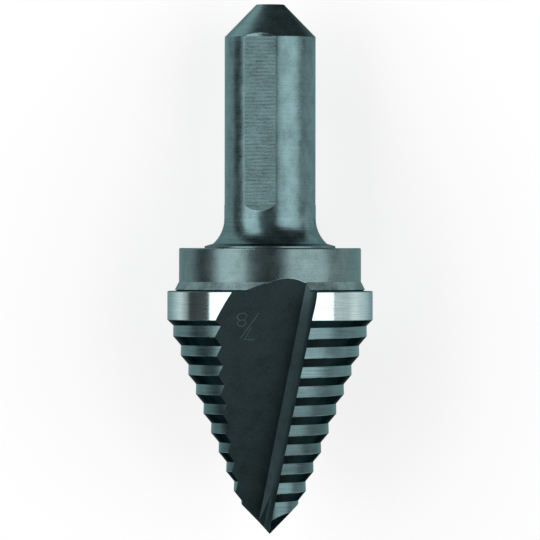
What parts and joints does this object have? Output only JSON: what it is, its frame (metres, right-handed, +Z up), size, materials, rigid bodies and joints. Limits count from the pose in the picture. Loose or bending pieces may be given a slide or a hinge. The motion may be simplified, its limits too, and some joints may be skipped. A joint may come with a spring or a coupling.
{
  "type": "step drill",
  "caption": "One-piece step drill: round shank with drive flats, collar, and a stepped cone with straight flutes that ends in a split point.",
  "frame": {"origin": "middle of the box's base, on the surface that the drill lies on", "axes": "+Z up; +Y runs from the point to the shank, level, under the drill's axis, which is tilted with its point up; +X to the side"},
  "size_m": [0.0216, 0.0554, 0.0203],
  "materials": {
    "tool_steel": "ground, satin on the lands and shank, polished on the ring, matt dark in the flutes"
  },
  "bodies": {
    "root": {"step_drill": "tool_steel"}
  },
  "joints": []
}
